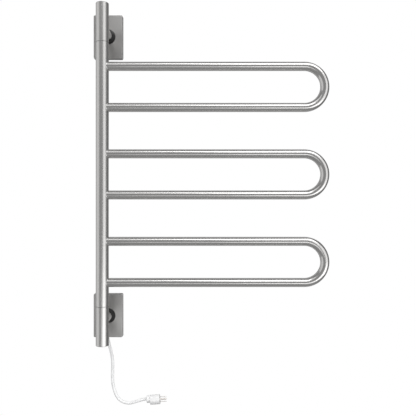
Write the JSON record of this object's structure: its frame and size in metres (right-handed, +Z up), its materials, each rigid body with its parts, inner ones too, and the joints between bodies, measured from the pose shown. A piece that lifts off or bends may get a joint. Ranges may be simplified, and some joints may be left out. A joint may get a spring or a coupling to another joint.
{
  "type": "towel warmer rack",
  "caption": "Wall-mounted electric towel warmer: a hollow post on wall brackets carries looped heated bars that swivel out from the wall, with a short power cord and plug.",
  "frame": {"origin": "on the wall plane, midway between the two wall brackets and on the vertical line through their centres", "axes": "+Z up along the post, +Y into the wall, +X the way the looped bars point at rest"},
  "size_m": [0.6009, 0.1048, 1.0236],
  "materials": {
    "turned_steel": "turned",
    "screw_steel": "bright",
    "brushed_post": "fine brushed along the tube",
    "brushed_cap": "turned satin",
    "brushed_standoff": "satin",
    "plated_steel": "bright zinc",
    "white_vinyl": "soft moulded vinyl",
    "clamp_nylon": "nylon",
    "lead_sheath": "silicone rubber",
    "brass": "bright",
    "cord_vinyl": "smooth vinyl sheath",
    "plated_brass": "nickel plate",
    "polished_bar": "satin polished along the bar",
    "heater_sheath": "silicone rubber",
    "splice_nylon": "translucent nylon",
    "wire_sleeve": "glass-fibre sleeve",
    "cutout_body": "phenolic case",
    "white_nylon": "natural nylon",
    "dark_nylon": "dark nylon",
    "brushed_cover": "brushed in circles round the standoff",
    "black_collar": "fine matt moulding",
    "black_rubber": "matt"
  },
  "bodies": {
    "wall_side": {"journal_upper": "turned_steel", "journal_lower": "turned_steel", "journal_screws": "screw_steel", "stop_pin": "screw_steel", "end_tube_upper": "brushed_post", "end_tube_lower": "brushed_post", "end_cap_upper": "brushed_cap", "end_cap_lower": "brushed_cap", "standoff_upper": "brushed_standoff", "standoff_lower": "brushed_standoff", "backplate_upper": "plated_steel", "backplate_lower": "plated_steel", "standoff_screws": "screw_steel", "strain_relief": "white_vinyl", "cord_clamp": "clamp_nylon", "clamp_screws": "screw_steel", "supply_lead": "lead_sheath", "earth_screw": "brass", "earth_tag": "brass", "power_cord": "cord_vinyl", "plug_body": "white_vinyl", "plug_blades": "plated_brass", "plug_earth_pin": "plated_brass"},
    "rack": {"swivel_post": "brushed_post", "loop_bottom": "polished_bar", "loop_middle": "polished_bar", "loop_top": "polished_bar", "heating_cable": "heater_sheath", "splices": "splice_nylon", "return_lead_upper": "wire_sleeve", "return_lead_lower": "wire_sleeve", "thermal_cutout": "cutout_body", "rack_lead": "lead_sheath", "stop_collar": "turned_steel", "swivel_bush_upper": "white_nylon", "swivel_bush_lower": "white_nylon", "thrust_washer_upper": "dark_nylon", "thrust_washer_lower": "dark_nylon"},
    "upper_cover": {"cover_upper": "brushed_cover", "collar_upper": "black_collar", "grip_ring_upper": "black_rubber"},
    "lower_cover": {"cover_lower": "brushed_cover", "collar_lower": "black_collar", "grip_ring_lower": "black_rubber"}
  },
  "joints": [
    {"name": "rack_swivel", "type": "hinge", "parent": "wall_side", "child": "rack", "pos_m": [0, -0.0889, 0], "axis": [0, 0, -1], "range_deg": [0, 180]},
    {"name": "upper_cover_slide", "type": "slide", "parent": "wall_side", "child": "upper_cover", "axis": [0, -1, 0], "range_m": [0, 0.045]},
    {"name": "lower_cover_slide", "type": "slide", "parent": "wall_side", "child": "lower_cover", "axis": [0, -1, 0], "range_m": [0, 0.045]}
  ]
}
